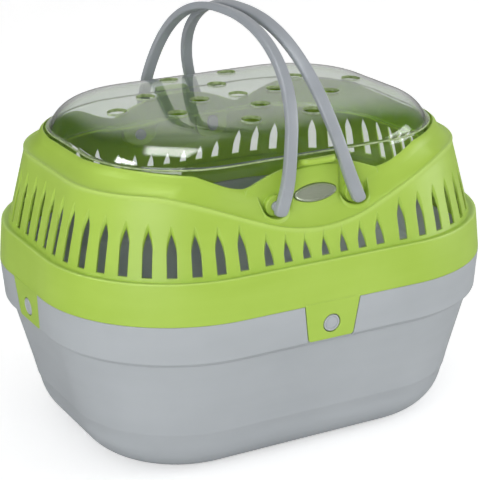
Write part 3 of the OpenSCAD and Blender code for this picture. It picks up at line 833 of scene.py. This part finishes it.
def make_upper_body():
    # The stations stand closer at the panel's sides, the niches' sides and the hump's ends
    edges = [12.5, 14.5, 15.2, 15.5, 16, 16.6, 17.3, 17.9, 18.2, 18.6, 19.2, 20.4,
             34.4, 35.6, 36.3, 36.7, 37.1, 37.6, 38.1, 38.6, 39.2,
             44, 44.6, 45.2, 45.5, 45.8, 46.4, 47]
    front = sorted(set([round(v, 3) for v in np.linspace(-CORNER_X, CORNER_X, 97)]
                       + edges + [-e for e in edges]))
    centre, outward = stations(front, 54, 20)
    body = swept_ring("upper_body", upper_body_profile(centre, outward), centre, outward, LIME)
    on_front_and_back(thumb_lip(), lambda tool: combine(body, tool, "UNION"))
    for side in (-1, 1):
        boss = rod("boss", side * PIVOT_X, PIVOT_Z, 6.5, OPEN_W / 2 + 0.2, HUMP_Y + 3.6, rim=0.5)
        on_front_and_back(boss, lambda tool: combine(body, tool, "UNION"))
        bore = rod("bore", side * PIVOT_X, PIVOT_Z, 3.05, 80, 110)
        on_front_and_back(bore, lambda tool: combine(body, tool, "DIFFERENCE"))
    pocket = prism("pocket", [(x, z + BADGE_Z) for x, z in badge_outline(0.45)],
                   HUMP_Y + PANEL_D - 1, HUMP_Y + PANEL_D + 8, axis="y")
    on_front_and_back(pocket, lambda tool: combine(body, tool, "DIFFERENCE"))
    places = [(x, y, SLOT_FOOT_Z, turn, tall - 0.6) for x, y, turn, tall in slot_places()]
    combine(body, scatter("slots", slot_tool(), places, SLOT_W, LIME), "DIFFERENCE")
    tab = tab_plate(0, 0, 2.2, JOINT_Z + 1, TAB_Z)
    hole = rod("boss hole", 0, BOSS_Z, BOSS_D / 2 + SNAP_GAP, HALF_W - 10, HALF_W + 10)
    combine(tab, hole, "DIFFERENCE")
    on_four_sides(tab, lambda tool: combine(body, tool, "UNION"))
    # Painted highlight on the crease and the belt's rolled edge.
    paint_ridge_highlights(body)
    return smooth(body)


# ---- tub ----
def tub_profile():
    lean, r = math.atan(TUB_LEAN), FLOOR_R
    waist_in, waist_z = BAND_LEAN + 4.2, BAND_Z - 2.5
    floor_c = waist_in + TUB_LEAN * (waist_z - r * (1 - math.sin(lean))) + r * math.cos(lean)

    def face(depth):
        arc = []
        for i in range(19):
            a = math.pi / 2 - (math.pi / 2 - lean) * i / 18
            arc.append((floor_c - (r - depth) * math.cos(a), r - (r - depth) * math.sin(a), 0))
        slope = math.hypot(1, TUB_LEAN) * depth
        foot, top = arc[-1], (waist_in + slope, waist_z)
        for k in range(1, 6):
            arc.append((foot[0] + (top[0] - foot[0]) * k / 6, foot[1] + (top[1] - foot[1]) * k / 6, 0))
        if not depth:
            # A faint step runs round where the wall starts to turn under
            step_z, step_out, grows = 31, 0.35, 12
            arc = [(q - step_out * max(0, 1 - abs(z - step_z) / grows) * (z > step_z - 0.2), z, c)
                   for q, z, c in arc]
            for z, up in ((step_z - 0.8, 0), (step_z, step_out)):
                arc.append((foot[0] - TUB_LEAN * (z - foot[1]) - up, z, 0))
            arc.sort(key=lambda p: p[1])
        return arc + [(top[0], top[1], 1.6), (BAND_LEAN + depth, BAND_Z, 1.4)]

    # The floor and the outer face, the lip that locates the upper body, the inner face
    floor_in, floor_mid, lip_z = 54, 62, 115.5
    path = [(floor_mid, 0, 0), (floor_in, 0, 0)] + face(0)
    path += [(0, JOINT_Z, .6), (2.79, JOINT_Z, .3), (3.29, lip_z, .7), (5.39, lip_z, .7),
             (4.89, 109, .8), (WALL, 104, .8)]
    path += face(WALL)[::-1] + [(floor_in, WALL, 0), (floor_mid, WALL, 0)]
    return round_corners(np.array(path, float)[None], closed=False)[0]


def snap_boss():
    """Round snap boss with a raised rim and a slightly domed middle, on the front."""
    side = BOSS_D / 2
    outline = [(0, 0.05), (1.5, 0.04), (2.9, 0.0), (3.5, -0.05), (3.8, -0.25), (4.0, -0.28), (4.25, 0.1),
               (4.6, 0.25), (4.95, 0.22), (side - 0.1, -0.1), (side, -0.45), (side, -3.4), (0, -3.4)]
    sides = 64
    points = []
    for r, up in outline:
        for k in range(sides):
            a = 2 * math.pi * k / sides
            points.append((r * math.cos(a), -HALF_W - up, BOSS_Z + r * math.sin(a)))
    return lean_with_band(mesh_object("snap boss", points, grid_faces(len(outline), sides, False, True)))


def make_tub():
    straight = [float(v) for v in np.linspace(-CORNER_X, CORNER_X, 13)]
    centre, outward = stations(straight, 48, 8)
    tub = swept_bowl("tub_shell", tub_profile(), centre, outward, TUB_GREY)
    pad = tab_plate(2.5, -2.0, POCKET_D + 1.9, JOINT_Z - 0.4, BAND_Z - 0.6)
    on_four_sides(pad, lambda tool: combine(tub, tool, "UNION"))
    pocket = tab_plate(SNAP_GAP, 5, POCKET_D, JOINT_Z + 2, BAND_Z - 5)
    on_four_sides(pocket, lambda tool: combine(tub, tool, "DIFFERENCE"))
    on_four_sides(snap_boss(), lambda tool: combine(tub, tool, "UNION"))
    return smooth(tub)


# ---- lid ----
def lid_profile(radius):
    def dome(depth):
        line = []
        for i in range(57):
            t = (i / 56) ** 2.4
            rise = (DOME_H - depth / 2) * (1 - (1 - t) ** 6) ** (1 / 1.4)
            line.append((depth + (radius - 2 * depth) * t, LEDGE_Z + SKIRT_H - depth / 2 + rise, 0))
        return line

    # A small bead round the foot of the dome lies over the gap to the rim
    bead_z = RIM_Z + 0.8
    outer, inner = dome(0), dome(LID_T)
    low = [p for p in outer if p[1] < bead_z - 0.9]
    high = [p for p in outer if p[1] > bead_z + 0.9]
    bead = [(0.6, bead_z - 0.9, .3), (-1.1, bead_z - 0.5, .5), (-1.1, bead_z + 0.5, .5),
            (0.95, bead_z + 0.9, .3)]
    outer = low + bead + high
    skirt = [(0, LEDGE_Z + 8, 0), (0, LEDGE_Z, .7), (LID_T, LEDGE_Z, .7), (LID_T, LEDGE_Z + 8, 0)]
    path = outer[::-1][4:] + skirt + inner[:-4]
    return round_corners(np.array(path, float)[None], closed=False)[0]


def make_lid():
    length, width, radius = OPEN_L / 2 - LID_GAP, OPEN_W / 2 - LID_GAP, OPEN_R - LID_GAP
    cx, cy = length - radius, width - radius
    centre, outward = stations([float(v) for v in np.linspace(-CORNER_X, CORNER_X, 13)], 56, 8)
    centre = centre / (CORNER_X, CORNER_Y) * (cx, cy)
    profile = lid_profile(radius)
    profile[:, 0] += CORNER_R - radius
    lid = swept_bowl("clear_lid", profile, centre, outward, CLEAR)
    # The bead is frosted, like the vents' cut edges
    lid.data.materials.append(FROSTED)
    for face in lid.data.polygons:
        x, y, z = (abs(v) / MM for v in face.center)
        edge = radius - math.hypot(max(x - cx, 0), max(y - cy, 0))
        if edge < 0.5 and RIM_Z + 0.2 < z < RIM_Z + 1.5 and face.normal.z > -0.5:
            face.material_index = 1
    places = [(sx * x, sy * y, LEDGE_Z, 0, 60) for x, y in VENTS
              for sx in ((1, -1) if x else (1,)) for sy in ((1, -1) if y else (1,))]
    tool = disc_tool(VENT_D / 2)
    combine(lid, scatter("vents", tool, places, 1 / MM, FROSTED), "DIFFERENCE", keep_finish=True)
    return smooth(lid, 40)


# ---- handles ----
def handle_line(top, steps=150):
    """Half the loop's centre line as (depth, height), from an arm's lower end to the top."""
    half, straight, power = 100.0, 16.0, 2 / 2.28
    line = [(half, -FOOT_H * math.cos(math.pi / 2 * k / 10)) for k in range(10)]
    line += [(half, straight * k / 8) for k in range(9)]
    for k in range(1, steps + 1):
        a = math.pi / 2 * (k / steps)
        depth = half * math.cos(a) ** power if k < steps else 0.0
        line.append((depth, straight + (top - straight) * math.sin(a) ** power))
    return line


def make_handle(name, side, lean, tall, bulge, shift):
    """One loop with its pins: it leans, bows by bulge, and its feet stand aside by shift."""
    half = handle_line(tall)
    line = np.array(half + [(-y, z) for y, z in half[-2::-1]])
    mid_z, ring, squareness, blunt = 50.75, 28, 2 / 4.6, 3.6
    bow_r = (mid_z ** 2 + bulge ** 2) / (2 * bulge)
    tangent = np.gradient(line, axis=0)
    tangent /= np.linalg.norm(tangent, axis=1)[:, None]
    points = []
    for (y, z), (ty, tz) in zip(line, tangent):
        bow = bulge - bow_r + math.sqrt(bow_r ** 2 - (z - mid_z) ** 2)
        bow += shift * (1 - float(step_up(z, 6, 40)))
        wide, thick = ARM_W + (FOOT_W - ARM_W) * (1 - float(step_up(z, 4, 34))), ARM_T
        if z < 0:
            wide = FOOT_W * max(1 - (z / -FOOT_H) ** blunt, 0.0) ** (1 / blunt)
            thick = ARM_T * (1 - 0.35 * (z / FOOT_H) ** 6)
        for k in range(ring):
            a = 2 * math.pi * k / ring
            c, s = math.cos(a), math.sin(a)
            across = wide * math.copysign(abs(c) ** squareness, c)
            out = thick * math.copysign(abs(s) ** squareness, s)
            points.append((bow + across, y - tz * out, z + ty * out))
    handle = mesh_object(name, points, capped_faces(len(line), ring), HANDLE_GREY)
    inside = OPEN_W / 2 - 2.3
    for s in (-1, 1):
        pin = rod("pin", 0, 0, PIN_R, inside, PIN_END)
        head = rod("head", 0, 0, HEAD_R, inside, inside + HEAD_T, rim=0.5)
        for tool in (pin, head):
            if s < 0:
                tool.data.transform(Matrix.Rotation(math.pi, 4, "Z"))
            combine(handle, tool, "UNION")
    handle.data.transform(Matrix.Translation((side * PIVOT_X * MM, 0, PIVOT_Z * MM))
                          @ Matrix.Rotation(math.radians(-side * lean), 4, "Y")
                          @ Matrix.Diagonal((-side, 1, 1, 1)))
    if side > 0:
        handle.data.flip_normals()
    return smooth(handle)


# ---- badge ----
def make_badge():
    """Domed oval plate with a rolled rim; its face is bare."""
    base, crown, rings = HUMP_Y + PANEL_D - 1, 0.32, 8
    rim = [(0, 0), (0, 1.55), (-0.25, 1.9), (-0.55, 2.0), (-0.9, 1.95), (-1.2, 1.68), (-1.45, 1.6)]
    points = []
    for grow, up in rim:
        points += [(x, -(base + up), BADGE_Z + z) for x, z in badge_outline(grow)]
    face_in, face_up = rim[-1]
    inner = badge_outline(face_in)
    for k in range(1, rings + 1):
        share = 1 - k / (rings + 1)
        y = -(base + face_up + crown * (1 - share ** 2))
        points += [(x * share, y, BADGE_Z + z * share) for x, z in inner]
    faces = capped_faces(len(rim) + rings, len(inner))
    return smooth(mesh_object("oval_badge", points, faces, SILVER), 35)


for piece, body, node in (
    (make_tub(), "body", "tub"),
    (make_upper_body(), "body", "grille_body"),
    (make_lid(), "lid", "lid"),
    (make_badge(), "body", "badge"),
    (make_handle("left_handle", -1, 10.8, 99.6, 3.0, 2.7), "handle_left", "handle_left"),
    (make_handle("right_handle", 1, 14.1, 100.8, 4.6, 0.4), "handle_right", "handle_right"),
):
    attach(piece, body)
    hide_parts(node)


# ---- studio ----
def make_world():
    world = bpy.data.worlds.new("studio")
    bpy.context.scene.world = world
    world.use_nodes = True
    tree = world.node_tree
    tree.nodes.clear()
    add, link = tree.nodes.new, tree.links.new
    path, output = add("ShaderNodeLightPath"), add("ShaderNodeOutputWorld")
    glow, shine, seen = (add("ShaderNodeBackground") for _ in range(3))
    for sky, strength in ((glow, 0.48), (shine, 1.0), (seen, 1.0)):
        sky.inputs[0].default_value, sky.inputs[1].default_value = (1, 1, 1, 1), strength
    heading = add("ShaderNodeTexCoord").outputs["Generated"]

    def maths(operation, a, b=0.0):
        node = add("ShaderNodeMath")
        node.operation = operation
        for socket, value in zip(node.inputs, (a, b)):
            if isinstance(value, bpy.types.NodeSocket):
                link(value, socket)
            else:
                socket.default_value = value
        return node.outputs[0]

    def along(vector):
        node = add("ShaderNodeVectorMath")
        node.operation = "DOT_PRODUCT"
        link(heading, node.inputs[0])
        node.inputs[1].default_value = vector
        return node.outputs["Value"]

    def ramp(value, *limits):
        node = add("ShaderNodeMapRange")
        node.interpolation_type = "SMOOTHSTEP"
        link(value, node.inputs["Value"])
        for label, limit in zip(("From Min", "From Max", "To Min", "To Max"), limits):
            node.inputs[label].default_value = limit
        return node.outputs[0]

    def mirrored_window(toward, side, half_long, half_high, strength):
        """A bright pane in what the plastic mirrors."""
        toward = Vector(toward).normalized()
        side = (Vector(side) - Vector(side).dot(toward) * toward).normalized()
        pane = ramp(along(toward), 0.3, 0.5, 0.0, strength)
        for axis, half in ((side, half_long), (toward.cross(side), half_high)):
            pane = maths("MULTIPLY", pane, ramp(maths("ABSOLUTE", along(axis)), 0.7 * half, half, 1.0, 0.0))
        return pane

    # What the plastic mirrors: a white sweep behind, a dim room in front, two panes
    sweep = ramp(along((0.5, 0.75, 0.43)), 0.7, 0.98, 0.05, 0.66)
    panes = maths("ADD", mirrored_window((-0.21, -0.08, 0.975), (0.66, -0.75, 0), 0.36, 0.27, 8.0),
                  mirrored_window((-0.86, 0.12, 0.47), (0, 1, 0), 0.22, 0.12, 14.0))
    link(maths("ADD", sweep, panes), shine.inputs[0])
    seen_ray = maths("MAXIMUM", path.outputs["Is Camera Ray"], path.outputs["Is Transmission Ray"])
    bounced = maths("ADD", path.outputs["Diffuse Depth"], path.outputs["Glossy Depth"])
    seen_ray = maths("MULTIPLY", seen_ray, maths("LESS_THAN", bounced, 0.5))
    glossy, mix = add("ShaderNodeMixShader"), add("ShaderNodeMixShader")
    link(path.outputs["Is Glossy Ray"], glossy.inputs[0])
    link(glow.outputs[0], glossy.inputs[1])
    link(shine.outputs[0], glossy.inputs[2])
    link(seen_ray, mix.inputs[0])
    link(glossy.outputs[0], mix.inputs[1])
    link(seen.outputs[0], mix.inputs[2])
    link(mix.outputs[0], output.inputs[0])


def make_lamps():
    aim = Vector((0, 0, 0.1))
    for name, place, size, power in (
        ("key softbox", (-1.8, -1.5, 0.7), (1.8, 1.3), 31),
        ("fill softbox", (2.0, -1.0, 0.6), (1.5, 1.2), 24),
        ("top softbox", (0.1, 0.5, 1.9), (1.3, 1.3), 2.5),
    ):
        data = bpy.data.lights.new(name, "AREA")
        data.shape, data.size, data.size_y, data.energy = "RECTANGLE", size[0], size[1], power
        lamp = bpy.data.objects.new(name, data)
        lamp.location = place
        lamp.rotation_euler = (aim - Vector(place)).to_track_quat("-Z", "Y").to_euler()
        bpy.context.scene.collection.objects.link(lamp)


def make_floor():
    """Pale paper, which looks white to the camera and through the clear lid."""
    reach = 4000
    corners = [(-reach, -reach, 0), (reach, -reach, 0), (reach, reach, 0), (-reach, reach, 0)]
    floor = mesh_object("floor", corners, [(0, 1, 2, 3)])
    f = Finish("white paper floor")
    paper = f.noise(6, 3)
    tint = f.blend(paper, (0.9, 0.9, 0.9, 1), (0.93, 0.93, 0.93, 1))
    path = f.node("ShaderNodeLightPath")
    mirrored = Value(f, path.outputs["Is Glossy Ray"])
    to_camera = Value(f, path.outputs["Is Camera Ray"]) + Value(f, path.outputs["Is Transmission Ray"])
    bounced = Value(f, path.outputs["Diffuse Depth"]) + Value(f, path.outputs["Glossy Depth"])
    to_camera = to_camera * (1 - bounced.between(0, 1))
    tint = f.blend(mirrored, tint, (0.3, 0.3, 0.3, 1))
    shader = f.node("ShaderNodeBsdfPrincipled", None, Base_Color=tint, Roughness=0.9,
                    Emission_Color=to_camera, Emission_Strength=0.42)
    floor.data.materials.append(f.done(shader.outputs[0]))


bpy.context.scene.view_settings.view_transform = "Standard"
make_world()
make_lamps()
make_floor()
